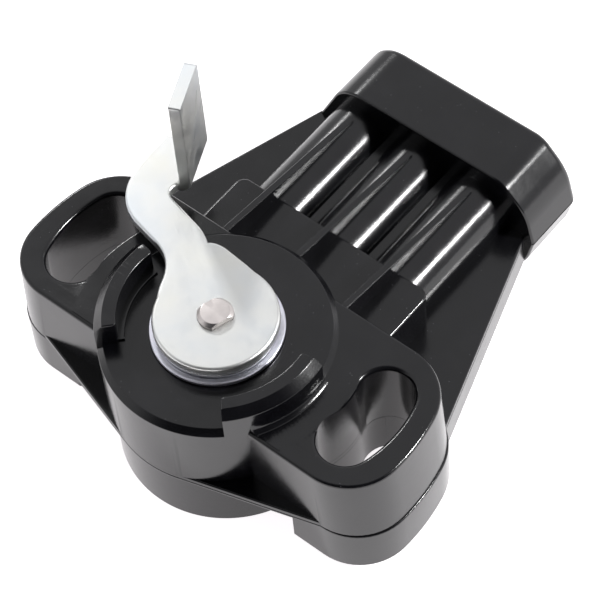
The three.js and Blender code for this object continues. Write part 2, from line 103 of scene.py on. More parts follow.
def arc(cx, cy, r, a0, a1, steps):
    """Points on an arc, angles in degrees."""
    out = []
    for i in range(steps + 1):
        a = math.radians(a0 + (a1 - a0) * i / steps)
        out.append((cx + r * math.cos(a), cy + r * math.sin(a)))
    return out


def rounded(points, radii, steps=6, closed=True):
    """The polygon with its corners rounded: radii is one radius or one for each corner."""
    n = len(points)
    if not isinstance(radii, (list, tuple)):
        radii = [radii] * n
    out = []
    for i, p in enumerate(points):
        r = radii[i]
        if r <= 0 or (not closed and i in (0, n - 1)):
            out.append(tuple(p))
            continue
        p = Vector(p)
        a = Vector(points[i - 1]) - p
        b = Vector(points[(i + 1) % n]) - p
        half = a.angle(b) / 2
        reach = min(r / math.tan(half), a.length * 0.49, b.length * 0.49)
        r = reach * math.tan(half)
        centre = p + (a.normalized() + b.normalized()).normalized() * (r / math.sin(half))
        start = p + a.normalized() * reach - centre
        end = p + b.normalized() * reach - centre
        turn = start.angle_signed(end)
        for k in range(steps + 1):
            v = start.copy()
            v.rotate(Matrix.Rotation(-turn * k / steps, 2))
            out.append(tuple(centre + v))
    return out


def tidy(points, gap=1e-3):
    out = []
    for p in points:
        if not out or math.dist(p, out[-1]) > gap:
            out.append((p[0], p[1]))
    if math.dist(out[0], out[-1]) <= gap:
        out.pop()
    return out


def offset(points, d):
    """The outline moved out of the material by d. Outer loops run anticlockwise, holes clockwise."""
    n = len(points)
    out = []
    for i in range(n):
        p, q, r = Vector(points[i - 1]), Vector(points[i]), Vector(points[(i + 1) % n])
        e0, e1 = (q - p).normalized(), (r - q).normalized()
        n0, n1 = Vector((e0.y, -e0.x)), Vector((e1.y, -e1.x))
        m = n0 + n1
        m = m / max(m.length_squared / 2, 0.3)
        out.append((q.x + m.x * d, q.y + m.y * d))
    return out


def make(name, verts, faces):
    mesh = bpy.data.meshes.new(name)
    mesh.from_pydata([tuple(c * MM for c in v) for v in verts], [], faces)
    mesh.update()
    obj = bpy.data.objects.new(name, mesh)
    scene.collection.objects.link(obj)
    return obj


def plate(outer, z0, z1, r0=0.0, r1=0.0, holes=(), low=None, rh0=None, rh1=None, steps=4):
    """An outline raised from z0 to z1, its edges rounded by r0 below and r1 above.

    low is the outline at z0 where it differs. rh0 and rh1 are the rounding of the holes' edges."""
    loops = [tidy(outer)] + [tidy(h) for h in holes]
    base = tidy(low or outer)
    if area(loops[0]) < 0:
        loops[0].reverse()
        base.reverse()
    for h in loops[1:]:
        if area(h) > 0:
            h.reverse()

    def rings(low, high):
        out = []
        for k in range(steps + 1 if low else 1):
            t = math.pi / 2 * k / steps
            out.append((low * (1 - math.sin(t)), z0 + low * (1 - math.cos(t))))
        for k in range(steps + 1 if high else 1):
            t = math.pi / 2 * k / steps
            out.append((high * (1 - math.cos(t)), z1 - high * (1 - math.sin(t))))
        return out

    verts, faces, ends = [], [], ([], [])
    for which, loop in enumerate(loops):
        low = r0 if which == 0 or rh0 is None else rh0
        high = r1 if which == 0 or rh1 is None else rh1
        n = len(loop)
        stack = rings(low, high)
        first = len(verts)
        for inset, z in stack:
            t = (z1 - z) / (z1 - z0)
            at = loop
            if which == 0:
                at = [(a + (c - a) * t, b + (d - b) * t) for (a, b), (c, d) in zip(loop, base)]
            verts += [(x, y, z) for x, y in offset(at, -inset)]
        for k in range(len(stack) - 1):
            for i in range(n):
                a, b = first + k * n + i, first + k * n + (i + 1) % n
                faces.append((a, b, b + n, a + n))
        ends[0].append(list(range(first, first + n)))
        top = first + (len(stack) - 1) * n
        ends[1].append(list(range(top, top + n)))
    for side, up in ((0, False), (1, True)):
        flat = [i for ring in ends[side] for i in ring]
        loops3 = [[Vector((verts[i][0], verts[i][1], 0)) for i in ring] for ring in ends[side]]
        for tri in tessellate_polygon(loops3):
            a, b, c = (flat[t] for t in tri)
            ax, ay = verts[a][:2]
            cross = (verts[b][0] - ax) * (verts[c][1] - ay) - (verts[b][1] - ay) * (verts[c][0] - ax)
            faces.append((a, b, c) if (cross > 0) == up else (a, c, b))
    return make("solid", verts, faces)


def turned(profile, segments=128, a0=None, a1=None):
    """A closed (radius, z) profile turned about Z: all the way, or from a0 to a1 degrees."""
    profile = tidy(profile)
    if area(profile) < 0:
        profile.reverse()
    whole = a0 is None
    count = segments if whole else segments + 1
    verts, index = [], {}
    for s in range(count):
        a = 2 * math.pi * s / segments if whole else math.radians(a0 + (a1 - a0) * s / segments)
        for k, (r, z) in enumerate(profile):
            if r < 1e-6:
                if ("pole", k) not in index:
                    index["pole", k] = len(verts)
                    verts.append((0, 0, z))
                index[s, k] = index["pole", k]
                continue
            index[s, k] = len(verts)
            verts.append((r * math.cos(a), r * math.sin(a), z))
    faces, n = [], len(profile)
    for s in range(segments):
        t = (s + 1) % count
        for k in range(n):
            m = (k + 1) % n
            ring = [index[s, k], index[t, k], index[t, m], index[s, m]]
            ring = [v for i, v in enumerate(ring) if v not in ring[:i]]
            if len(ring) > 2:
                faces.append(ring)
    if not whole:
        faces.append([index[0, k] for k in range(n)])
        faces.append([index[count - 1, k] for k in reversed(range(n))])
    return make("solid", verts, faces)


def moved(obj, matrix):
    obj.data.transform(matrix)
    return obj


def shifted(obj, x, y, z):
    return moved(obj, Matrix.Translation((x * MM, y * MM, z * MM)))


def rod(x, y, r, z0, z1, segments=32):
    return shifted(turned([(0, z0), (r, z0), (r, z1), (0, z1)], segments), x, y, 0)


def block(x0, x1, y0, y1, z0, z1, r=0.0):
    return plate([(x0, y0), (x1, y0), (x1, y1), (x0, y1)], z0, z1, r, r)


def along_y(outline, y0, y1, **rounding):
    """A plate whose outline is in X and Z, and which runs from y0 to y1."""
    obj = plate(outline, -y1, -y0, **rounding)
    return moved(obj, Matrix.Rotation(math.pi / 2, 4, "X"))


def along_x(outline, x, width, **rounding):
    """A plate whose outline is in Y and Z, centred on x."""
    obj = plate(outline, x - width / 2, x + width / 2, **rounding)
    turn = Matrix(((0, 0, 1, 0), (1, 0, 0, 0), (0, 1, 0, 0), (0, 0, 0, 1)))
    return moved(obj, turn)


def boolean(obj, others, operation):
    for other in others:
        mod = obj.modifiers.new("b", "BOOLEAN")
        mod.object = other
        mod.operation = operation
        mod.solver = "MANIFOLD"
        depsgraph = bpy.context.evaluated_depsgraph_get()
        mesh = bpy.data.meshes.new_from_object(obj.evaluated_get(depsgraph))
        obj.modifiers.clear()
        old = obj.data
        obj.data = mesh
        bpy.data.meshes.remove(old)
        bpy.data.objects.remove(other)
    return obj


def join(*solids):
    return boolean(solids[0], solids[1:], "UNION")


def cut(obj, *solids):
    return boolean(obj, solids, "DIFFERENCE")


def common(obj, *solids):
    return boolean(obj, solids, "INTERSECT")


def shade(obj):
    """Smooth shading with sharp creases, and normals weighted to the large faces."""
    mesh = obj.data
    mesh.polygons.foreach_set("use_smooth", [True] * len(mesh.polygons))
    mesh.set_sharp_from_angle(angle=math.radians(CREASE_ANGLE))
    mod = obj.modifiers.new("normals", "WEIGHTED_NORMAL")
    mod.keep_sharp = True
    mod.weight = 60
    return obj


def piece(obj, name, material, body, slot, *replaced):
    """Names and finishes a visible piece, ties it to its body, and hides the CAD nodes it replaces."""
    obj.name = name
    obj.data.name = name
    obj.data.materials.clear()
    obj.data.materials.append(material)
    shade(obj)
    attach(obj, body)
    if replaced:
        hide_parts(*replaced)
    return obj


# ---- materials ----


class Nodes:
    """A material and short calls for its nodes."""

    def __init__(self, name, **inputs):
        self.material = bpy.data.materials.new(name)
        self.material.use_nodes = True
        self.tree = self.material.node_tree
        self.shader = self.tree.nodes["Principled BSDF"]
        for key, value in inputs.items():
            self.shader.inputs[key.replace("_", " ")].default_value = value
        self.place = self.add("ShaderNodeTexCoord").outputs["Object"]

    def add(self, kind, **settings):
        node = self.tree.nodes.new(kind)
        for key, value in settings.items():
            setattr(node, key, value)
        return node

    def link(self, a, b):
        self.tree.links.new(a, b)

    def noise(self, size, detail=3.0, rough=0.55, stretch=None):
        """Noise whose features are about size millimetres across."""
        node = self.add("ShaderNodeTexNoise")
        node.inputs["Scale"].default_value = 1 / (size * MM)
        node.inputs["Detail"].default_value = detail
        node.inputs["Roughness"].default_value = rough
        place = self.place
        if stretch:
            mapping = self.add("ShaderNodeMapping")
            mapping.inputs["Scale"].default_value = stretch
            self.link(place, mapping.inputs["Vector"])
            place = mapping.outputs["Vector"]
        self.link(place, node.inputs["Vector"])
        return node.outputs["Fac"]

    def ramp(self, value, *stops):
        node = self.add("ShaderNodeValToRGB")
        ramp = node.color_ramp
        while len(ramp.elements) < len(stops):
            ramp.elements.new(0.5)
        for element, (at, color) in zip(ramp.elements, stops):
            element.position = at
            element.color = (*color, 1) if isinstance(color, tuple) else (color, color, color, 1)
        self.link(value, node.inputs["Fac"])
        return node.outputs["Color"]

    def math(self, operation, a, b):
        node = self.add("ShaderNodeMath", operation=operation)
        for socket, value in zip(node.inputs, (a, b)):
            if isinstance(value, (int, float)):
                socket.default_value = value
            else:
                self.link(value, socket)
        return node.outputs["Value"]

    def bumps(self, *layers):
        """Each layer is (height, distance in millimetres, strength)."""
        normal = None
        for height, distance, strength in layers:
            node = self.add("ShaderNodeBump")
            node.inputs["Strength"].default_value = strength
            node.inputs["Distance"].default_value = distance * MM
            self.link(height, node.inputs["Height"])
            if normal:
                self.link(normal, node.inputs["Normal"])
            normal = node.outputs["Normal"]
        self.link(normal, self.shader.inputs["Normal"])

    def specks(self, spacing, size):
        """Small round specks: 1 inside a speck."""
        node = self.add("ShaderNodeTexVoronoi")
        node.inputs["Scale"].default_value = 1 / (spacing * MM)
        self.link(self.place, node.inputs["Vector"])
        return self.math("LESS_THAN", node.outputs["Distance"], size)


def black_nylon():
    """Glossy black glass-filled nylon: a slightly cloudy gloss, fine grain and a few light specks."""
    m = Nodes("black_nylon", IOR=1.5)
    cloud = m.noise(9, 4)
    grain = m.noise(0.45, 5, 0.6)
    dust = m.math("MULTIPLY", m.specks(1.5, 0.07), m.math("GREATER_THAN", m.noise(6, 1), 0.5))
    color = m.ramp(cloud, (0.3, (0.0022, 0.0022, 0.0030)), (0.75, (0.0048, 0.0048, 0.0060)))
    mix = m.add("ShaderNodeMix", data_type="RGBA")
    m.link(dust, mix.inputs["Factor"])
    m.link(color, mix.inputs["A"])
    mix.inputs["B"].default_value = (0.06, 0.06, 0.065, 1)
    m.link(mix.outputs["Result"], m.shader.inputs["Base Color"])
    gloss = m.math("ADD", m.ramp(cloud, (0.3, 0.11), (0.8, 0.20)), m.math("MULTIPLY", grain, 0.06))
    m.link(gloss, m.shader.inputs["Roughness"])
    m.bumps((m.noise(26, 2), 0.30, 0.25), (m.noise(1.6, 2), 0.02, 0.5), (grain, 0.03, 0.5))
    return m.material


def zinc_plate():
    """Bright zinc on stamped steel: fine rolled grain, faint yellow and blue stain, small scratches."""
    m = Nodes("zinc_plate", Metallic=1.0)
    stain = m.noise(14, 3)
    color = m.ramp(
        stain, (0.3, (0.66, 0.69, 0.71)), (0.5, (0.71, 0.72, 0.71)), (0.72, (0.73, 0.73, 0.69))
    )
    m.link(color, m.shader.inputs["Base Color"])
    grain = m.noise(0.35, 6, 0.7, (1, 3.5, 1))
    patch = m.noise(3.5, 5, 0.6)
    gloss = m.math("ADD", m.ramp(patch, (0.35, 0.30), (0.7, 0.42)), m.math("MULTIPLY", grain, 0.10))
    m.link(gloss, m.shader.inputs["Roughness"])
    scratch = m.noise(1.6, 2, 0.5, (1, 22, 4))
    line = m.ramp(scratch, (0.70, 0.0), (0.74, 1.0))
    m.bumps((grain, 0.02, 0.5), (m.noise(1.2, 4), 0.03, 0.35), (line, 0.01, 0.4))
    return m.material


def steel(name, color, roughness, grain_size=0.3):
    """Turned or stamped steel with a fine grain."""
    m = Nodes(name, Metallic=1.0)
    tint = tuple(c * 0.86 for c in color)
    m.link(m.ramp(m.noise(2.5, 5), (0.3, tint), (0.7, color)), m.shader.inputs["Base Color"])
    grain = m.noise(grain_size, 5, 0.65)
    gloss = m.math("ADD", roughness - 0.06, m.math("MULTIPLY", grain, 0.14))
    m.link(gloss, m.shader.inputs["Roughness"])
    m.bumps((grain, 0.015, 0.5), (m.noise(1.1, 3), 0.03, 0.3))
    return m.material


def moulded(name, color, roughness=0.5, grain_size=0.4, depth=0.02):
    """Matt moulded plastic, rubber or printed ink."""
    m = Nodes(name)
    dark = tuple(c * 0.8 for c in color)
    m.link(m.ramp(m.noise(4, 4), (0.3, dark), (0.7, color)), m.shader.inputs["Base Color"])
    grain = m.noise(grain_size, 4)
    gloss = m.math("ADD", roughness - 0.05, m.math("MULTIPLY", grain, 0.12))
    m.link(gloss, m.shader.inputs["Roughness"])
    m.bumps((grain, depth, 0.5))
    return m.material


NYLON = black_nylon()
ZINC = zinc_plate()
BRIGHT = steel("bright_steel", (0.66, 0.67, 0.68), 0.24)
PALE = steel("pale_washer_coat", (0.80, 0.80, 0.88), 0.34, 0.4)
SHAFT = steel("shaft_steel", (0.74, 0.69, 0.67), 0.3, 0.25)
SPRING = steel("spring_steel", (0.40, 0.41, 0.42), 0.3)
BRONZE = steel("sintered_bronze", (0.66, 0.43, 0.22), 0.46, 0.2)
TIN = steel("tin_plate", (0.80, 0.78, 0.71), 0.28)
WIPER = steel("wiper_alloy", (0.79, 0.62, 0.30), 0.25)
SCREW = steel("screw_zinc", (0.62, 0.62, 0.60), 0.34)
RUBBER = moulded("black_rubber", (0.018, 0.018, 0.018), 0.7, 0.3, 0.03)
RED = moulded("red_silicone", (0.40, 0.07, 0.04), 0.55, 0.5)
BLUE = moulded("blue_silicone", (0.05, 0.20, 0.42), 0.5, 0.5)
BOARD = moulded("board_laminate", (0.06, 0.20, 0.10), 0.45, 0.3, 0.01)
CARBON = moulded("carbon_ink", (0.02, 0.02, 0.022), 0.6, 0.15)
CREAM = moulded("rotor_plastic", (0.70, 0.66, 0.55), 0.45)


# ---- outlines ----


def ear_outline(grow=0.0):
    """The plan of both ears. grow is how much wider it is than at the top."""
    reach = EAR_REACH + grow
    rounds = []
    for y, f in ((EAR_BACK + grow / 2, 14 + grow / 2), (EAR_FRONT, 13)):
        cy = y - math.copysign(f, y)
        cx = math.sqrt((reach - f) ** 2 - cy**2)
        rounds.append((cx, cy, f, math.degrees(math.atan2(cy, cx))))
    (bx, by, bf, back), (fx, fy, ff, front) = rounds
    right = (
        arc(fx, fy, ff, -90, front, 14)
        + arc(0, 0, reach, front, back, 24)
        + arc(bx, by, bf, back, 90, 14)
    )
    return right + [(-x, y) for x, y in reversed(right)]


def slot_outline(side, inset=0.0):
    """The curved slot of one ear: side is 1 on the right and -1 on the left."""
    cx = SLOT_X - SLOT_ARC
    half = SLOT_HALF - inset
    turn = math.degrees(SLOT_ANGLE)
    end = (cx + SLOT_ARC * math.cos(SLOT_ANGLE), SLOT_ARC * math.sin(SLOT_ANGLE))
    points = arc(cx, 0, SLOT_ARC + half, -turn, turn, 12)
    points += arc(end[0], end[1], half, turn, turn + 180, 20)
    points += arc(cx, 0, SLOT_ARC - half, turn, -turn, 12)
    points += arc(end[0], -end[1], half, 180 - turn, 360 - turn, 20)
    return tidy([(side * x, y + SLOT_Y) for x, y in points])


def slot_cuts(z0, z1):
    """What clears both slots of the flanges and blocks that are joined to the ears."""
    return [plate(slot_outline(side, SLOT_STEP), z0, z1) for side in (1, -1)]


def flange_outline():
    """The thin flange at the parting plane: it bridges from the drum's front to both ears."""
    r, x, y = DRUM_R, FLANGE_X, EAR_FRONT
    angle = math.atan2(y, x) - math.acos(r / math.hypot(x, y))
    bow = arc(0, 0, r, 180 - math.degrees(angle), 360 + math.degrees(angle), 40)
    return [(-x, y)] + bow + [(x, y), (x, FLANGE_Y), (-x, FLANGE_Y)]


def rear_plate():
    """The tapering plate: it starts inside the ears and ends inside the socket."""
    y0, y1 = 18.0, 71.5
    slope = (REAR_HALF[1] - REAR_HALF[0]) / (REAR_Y[1] - REAR_Y[0])
    half0, half1 = (REAR_HALF[0] + slope * (y - REAR_Y[0]) for y in (y0, y1))
    return [(-half0, y0), (half0, y0), (half1, y1), (-half1, y1)]


def shroud_outline(wall=0.0):
    """The socket's shell in X and Z: wide rounds on the left, a bowed side on the right."""
    half = SHROUD_HALF
    right = rounded([(0, half), (23.4, half), (30.6, 9.2), (32.7, 0)], [0, 6.5, 14, 0], 8, False)
    left = rounded([(-30.2, 0), (-22.45, half), (0, half)], [0, 9.0, 0], 12, False)
    top = tidy(left + right)
    points = top + [(x, -z) for x, z in reversed(top[1:-1])]
    if area(points) < 0:
        points.reverse()
    return [(x, z + PARTING) for x, z in offset(points, -wall)]


def stop_outline(a0, a1):
    """An arched end stop in plan, the corners of its ends rounded."""

    def corner(r, a):
        return (r * math.cos(math.radians(a)), r * math.sin(math.radians(a)))

    outer = arc(0, 0, DRUM_R + 1, a0 + 5, a1 - 5, 36)
    inner = arc(0, 0, POST_INNER, a1 - 5, a0 + 5, 36)
    points = [corner(DRUM_R + 1, a0)] + outer + [corner(DRUM_R + 1, a1), corner(POST_INNER, a1)]
    points += inner + [corner(POST_INNER, a0)]
    radii = [0] * len(points)
    radii[38] = radii[39] = radii[-1] = radii[0] = 0.85
    return rounded(points, radii, 5)


def lever_outline():
    """The arm: it leaves the disc to the left, narrows, and hooks round to the tab."""

    def bend(a, c, b, steps=10):
        return [
            tuple((1 - t) ** 2 * a[i] + 2 * t * (1 - t) * c[i] + t * t * b[i] for i in (0, 1))
            for t in (k / steps for k in range(1, steps + 1))
        ]

    s = [(-13.3, -4.2)]
    s += bend(s[-1], (-14.9, -1.6), (-15.2, -0.4), 4)
    s += bend(s[-1], (-17.2, 5.2), (-22.6, 6.6))
    s += [(-30.6, 8.3)]
    s += bend(s[-1], (-38.0, 10.8), (-39.5, 18.9))
    s += bend(s[-1], (-40.3, 24.5), (-40.3, 30.4))
    s += [(-33.9, 33.2), (-29.0, 22.0)]
    s += bend(s[-1], (-30.4, 18.9), (-27.8, 18.0))
    s += [(-18.6, 15.9)]
    s += bend(s[-1], (-15.6, 15.1), (-13.7, 13.6))
    s += bend(s[-1], (-12.4, 14.9), (-9.4, 14.8))
    s += [(-3.0, 14.2), (0, 13.8), (0, 0), (-8, -4)]
    return tidy(s)


# ---- housing ----


def cove(a0, a1):
    """The hollow fillet at the outer foot of an end stop."""
    foot, r = DRUM_R, 2.6
    profile = [(foot - 1.0, EAR_TOP - 1), (foot + r, EAR_TOP - 1)]
    profile += [
        (foot + r - r * math.sin(t), EAR_TOP + r - r * math.cos(t))
        for t in (math.pi / 2 * k / 10 for k in range(11))
    ]
    profile += [(foot - 1.0, EAR_TOP + r)]
    return turned(profile, 48, a0, a1)


def end_stop(a0, a1):
    """An arched wall on the drum's edge that stops the lever arm, with a low step at its foot."""
    top, base, bevel = POST_TOP, EAR_TOP - 2, 2.0
    wall = plate(stop_outline(a0, a1), base, top, 0, 0.4)
    profile = [(0, base - 1), (DRUM_R, base - 1), (DRUM_R, top - bevel), (DRUM_R - bevel, top + 0.02)]
    edge = turned(rounded(profile + [(0, top + 0.02)], [0, 0, 0.4, 0.35, 0], 4), 160)
    step = [(POST_INNER - 1.3, base), (POST_INNER + 1, base), (POST_INNER + 1, DRUM_TOP + 0.6)]
    step = turned(rounded(step + [(POST_INNER - 1.3, DRUM_TOP + 0.6)], [0, 0, 0, 0.3], 4), 48, a0 + 1, a1 - 1)
    return join(common(wall, edge), step)


def shroud_shell():
    shell = along_y(shroud_outline(), SHROUD_BACK, SHROUD_FRONT, r0=1.9, r1=0.6)
    cut(shell, along_y(shroud_outline(SHROUD_WALL), SHROUD_FLOOR, SHROUD_FRONT + 2))
    groove = along_y(shroud_outline(-2), SHROUD_BACK - 1, SHROUD_FRONT + 1)
    cut(groove, along_y(shroud_outline(0.45), SHROUD_BACK - 2, SHROUD_FRONT + 2))
    return cut(shell, common(groove, block(-60, 60, 60, 100, PARTING - 0.3, PARTING + 0.2)))


def blade_slots():
    w, t = BLADE_HALF + BLADE_CLEARANCE, BLADE_THICK / 2 + BLADE_CLEARANCE
    return [
        block(x - w, x + w, 60, SHROUD_FLOOR + 1, TERMINAL_Z - t, TERMINAL_Z + t)
        for x in (-PITCH, 0, PITCH)
    ]


def tubes_and_ribs():
    low, solids = PARTING, []
    crest = TUBE_Z + TUBE_R
    for x in (-PITCH, 0, PITCH):
        tube = turned([(0, 32), (TUBE_R, 32), (TUBE_R, 71), (0, 71)], 96)
        moved(tube, Matrix.Rotation(-math.pi / 2, 4, "X"))
        solids.append(shifted(tube, x, 0, TUBE_Z))
        side = [(16, EAR_TOP + 0.05), (66.4, crest + 0.75), (67.2, crest + 0.7)]
        side += [(67.5, crest - 2), (16, crest - 2)]
        solids.append(along_x(side, x, 1.6, r0=0.32, r1=0.32))
    for x in (-PITCH / 2, PITCH / 2):
        solids.append(block(x - 1.25, x + 1.25, 38, 71, low, PARTING + 7, 0.35))
    half = PITCH + TUBE_R - 0.05
    return solids + [block(-half, half, 36, 71, low + 0.2, TUBE_Z)]


def upper_housing():
    low = PARTING
    wall = [(0, low), (DRUM_R, low), (DRUM_R, DRUM_TOP - DRUM_EDGE), (DRUM_R - DRUM_EDGE, DRUM_TOP)]
    body = turned(rounded(wall + [(0, DRUM_TOP)], [0, 0.25, 0.3, 0.3, 0], 4), 180)
    slots = [slot_outline(side) for side in (1, -1)]
    foot = ear_outline(EAR_DRAFT)
    ears = plate(ear_outline(), low, EAR_TOP, 0.25, 0.8, slots, low=foot, rh0=0.0, rh1=1.0, steps=5)
    within = plate(offset(tidy(ear_outline()), -0.75), EAR_TOP - 3, EAR_TOP + 9, 0, 0, slots)
    rise = EAR_TOP + 0.3
    boss = [(0, EAR_TOP - 2), (BOSS_R, EAR_TOP - 2), (BOSS_R, EAR_TOP), (BOSS_R - 0.5, rise), (0, rise)]
    boss = turned(boss, 180)
    coves = [cove(-46, RIGHT_STOP[1]), cove(LEFT_STOP[0], 225)]
    solids = [ears, common(join(boss, *coves), within)]
    solids.append(plate(flange_outline(), low, low + FLANGE, 0.2, 0.4))
    solids.append(plate(rear_plate(), low, low + FLANGE, 0.25, 0.55))
    deck = [(-DECK_HALF, 8), (DECK_HALF, 8), (DECK_HALF, DECK_END), (-DECK_HALF, DECK_END)]
    solids.append(plate(rounded(deck, [0, 0, 2.6, 2.6], 8), low, DECK_TOP, 0, 0.55))
    solids += tubes_and_ribs()
    solids += [end_stop(*RIGHT_STOP), end_stop(*LEFT_STOP)]
    join(body, *solids)
    join(body, common(shroud_shell(), block(-60, 60, 60, 100, low, 60)))
    ceiling = low + CAVITY_RISE
    tools = [
        turned([(0, low - 1), (CAVITY_R, low - 1), (CAVITY_R, ceiling), (0, ceiling)], 96),
        rod(0, 0, BUSHING_BORE, low + 5, low + 30, 48),
        rod(0, 0, SEAL_BORE, low + 18.6, low + 30, 48),
        block(-22.5, 22.5, 10, LEG_Y + 2.5, low - 1, low + 8),
    ]
    tools += [block(x - 4, x + 4, 34, 66, low + 2, low + 8) for x in (-PITCH, 0, PITCH)]
    tools += blade_slots() + slot_cuts(low - 1, EAR_TOP + 1)
    tools += [rod(x, y, PILOT_R, low - 1, low + 5.6, 24) for x, y, _ in SCREWS]
    return cut(body, *tools)


def lower_cover():
    top = PARTING - SEAM
    profile = rounded([(0, 0), (COVER_R, 0), (COVER_R, top), (0, top)], [0, 0.5, 0.3, 0], 5)
    body = turned(profile, 180)
    slots = [slot_outline(side) for side in (1, -1)]
    blocks = plate(ear_outline(EAR_DRAFT + 0.4), EAR_BOTTOM, top, 0.6, 0.45, slots, rh0=0.6, rh1=0.0)
    keep = [(27.5, -9), (32.5, -17), (60, -17), (60, 30), (27.5, 30)]
    right = plate(rounded(keep, [1.5, 3, 0, 0, 0], 5), 0, PARTING + 1)
    left = plate(rounded([(-x, y) for x, y in reversed(keep)], [0, 0, 0, 3, 1.5], 5), 0, PARTING + 1)
    solids = [
        common(blocks, join(right, left)),
        plate(flange_outline(), top - LIP, top, 0.35, 0.2),
        plate(rear_plate(), TRAY_BOTTOM, top, 0.8, 0.3),
        block(-34, 34, -4, 20, TRAY_BOTTOM, top - 0.2, 0.4),
        common(shroud_shell(), block(-60, 60, 60, 100, -5, top)),
    ]
    join(body, *solids)
    tools = [
        turned([(0, COVER_FLOOR), (COVER_CAVITY_R, COVER_FLOOR), (COVER_CAVITY_R, 20), (0, 20)], 96),
        block(-24, 24, 10, 66, TRAY_BOTTOM + 2.3, 20),
    ]
    cut(body, *tools)
    join(body, rod(0, 0, 8, 1, 10.9, 48), *[rod(x, 60, 3.8, TRAY_BOTTOM + 1, top) for x in (-8.5, 8.5)])
    tools = [rod(0, 0, BUSHING_BORE, 3.9, 20, 48)] + slot_cuts(-1, top + 1)
    for x, y, z in SCREWS:
        tools += [rod(x, y, SCREW_HOLE_R, 0, 20, 24), rod(x, y, SCREW_HEAD_R, -1, z + 2.1)]
    round_part = rod(0, 0, GROOVE_OUTER, GROOVE_FLOOR, 20, 96)
    groove = join(round_part, block(-26, 26, 7.9, 67.8, GROOVE_FLOOR, 20))
    inner = join(rod(0, 0, GROOVE_INNER, 15, 21, 96), block(-24.8, 24.8, 9.1, 66.6, 15, 21))
    tools.append(cut(groove, inner))
    return cut(body, *tools)


def terminal(x):
    """A flat blade with a tapered tip, and the leg that stands on the board."""
    half, t = BLADE_HALF, BLADE_THICK / 2
    plan = [(x - half, LEG_Y), (x + half, LEG_Y), (x + half, 82.4)]
    plan += [(x + half - 1.1, BLADE_END), (x - half + 1.1, BLADE_END), (x - half, 82.4)]
    blade = plate(plan, TERMINAL_Z - t, TERMINAL_Z + t, 0.12, 0.12, steps=3)
    side = [(70, TERMINAL_Z - t - 1), (82, TERMINAL_Z - t - 1), (84.1, TERMINAL_Z - 0.15)]
    side += [(84.1, TERMINAL_Z + 0.15), (82, TERMINAL_Z + t + 1), (70, TERMINAL_Z + t + 1)]
    keep = join(along_x(side, x, 8), block(x - 5, x + 5, 30, 72, TERMINAL_Z - 2, TERMINAL_Z + 2))
    common(blade, keep)
    leg = block(x - 1.5, x + 1.5, LEG_Y, LEG_Y + 0.8, 13.05, TERMINAL_Z, 0.1)
    return join(blade, leg)


def connector_seal():
    """The flat silicone seal on the socket's floor, with a raised lip round its edge."""
    y0, y1 = SHROUD_FLOOR + 0.1, SHROUD_FLOOR + 2.1
    body = along_y(shroud_outline(SHROUD_WALL + 0.4), y0, y1, r0=0.5, r1=0.2)
    cut(body, along_y(shroud_outline(SHROUD_WALL + 2.2), y1 - 0.6, y1 + 1, r1=0.4))
    w, t = BLADE_HALF + BLADE_CLEARANCE, BLADE_THICK / 2 + BLADE_CLEARANCE
    holes = [block(x - w, x + w, 60, 90, TERMINAL_Z - t, TERMINAL_Z + t) for x in (-PITCH, 0, PITCH)]
    return cut(body, *holes)


def cover_screw(x, y, z):
    """A pan head screw seen from below, with a cross recess and a threaded shank."""
    end = PARTING + 5.2 - z
    profile = [(0, 0.2), (2.7, 0.2), (2.7, 1.8), (1.4, 1.8)]
    pitch = 0.8
    at = 2.4
    while at < end - 1.2:
        profile += [(1.2, at), (1.4, at + pitch / 2)]
        at += pitch
    profile += [(1.2, end - 0.9), (0.6, end), (0, end)]
    screw = turned(rounded(profile, [0, 0.7, 0.1] + [0] * (len(profile) - 3), 5), 40)
    arms = [block(-1.6, 1.6, -0.35, 0.35, -1, 1.1), block(-0.35, 0.35, -1.6, 1.6, -1, 1.1)]
    return shifted(cut(screw, *arms), x, y, z)


# ---- lever and shaft ----


def double_d(r, flat, z0, z1):
    between = block(-r - 1, r + 1, -flat, flat, z0 - 1, z1 + 1)
    moved(between, Matrix.Rotation(math.radians(FLAT_TURN), 4, "Z"))
    return common(rod(0, 0, r, z0, z1, 96), between)


def tab():
    """The upturned end: drawn in its own frame, the broad face at x = 0 and the width along +Y."""
    thick, bend = TAB_THICK, TAB_BEND
    side = [(-6, LEVER_LOW + 0.3)]
    side += [
        (-bend + bend * math.sin(t), LEVER_LOW + bend - bend * math.cos(t))
        for t in (math.pi / 2 * k / 8 for k in range(9))
    ]
    side += [(0, TAB_TOP), (-thick, TAB_TOP)]
    side += [
        (-thick - 0.8 + 0.8 * math.cos(t), LEVER_TOP + 0.75 - 0.8 * math.sin(t))
        for t in (math.pi / 2 * k / 5 for k in range(6))
    ]
    side += [(-6, LEVER_TOP - 0.05)]
    body = plate(side, -TAB_WIDTH, 0, 0.4, 0.4)
    moved(body, Matrix.Rotation(math.pi / 2, 4, "X"))
    w = TAB_WIDTH
    face = [(0, LEVER_LOW - 5), (w, LEVER_LOW - 5), (w, TAB_TOP), (0, TAB_TOP)]
    common(body, along_x(rounded(face, [0, 0, 1.5, 0.5], 6), -3, 14))
    scratch = block(-0.10, 1, -0.14, 0.14, -6.5, 6.5)
    moved(scratch, Matrix.Rotation(math.radians(-24), 4, "X"))
    mark = block(-0.07, 1, -0.12, 0.12, -3.2, 3.2)
    moved(mark, Matrix.Rotation(math.radians(-24), 4, "X"))
    cut(body, shifted(scratch, 0, 8.2, 59.0), shifted(mark, 0, 11.2, 56.5))
    moved(body, Matrix.Rotation(math.atan2(0.41, 0.91), 4, "Z"))
    return shifted(body, -26.3, 22.8, 0)


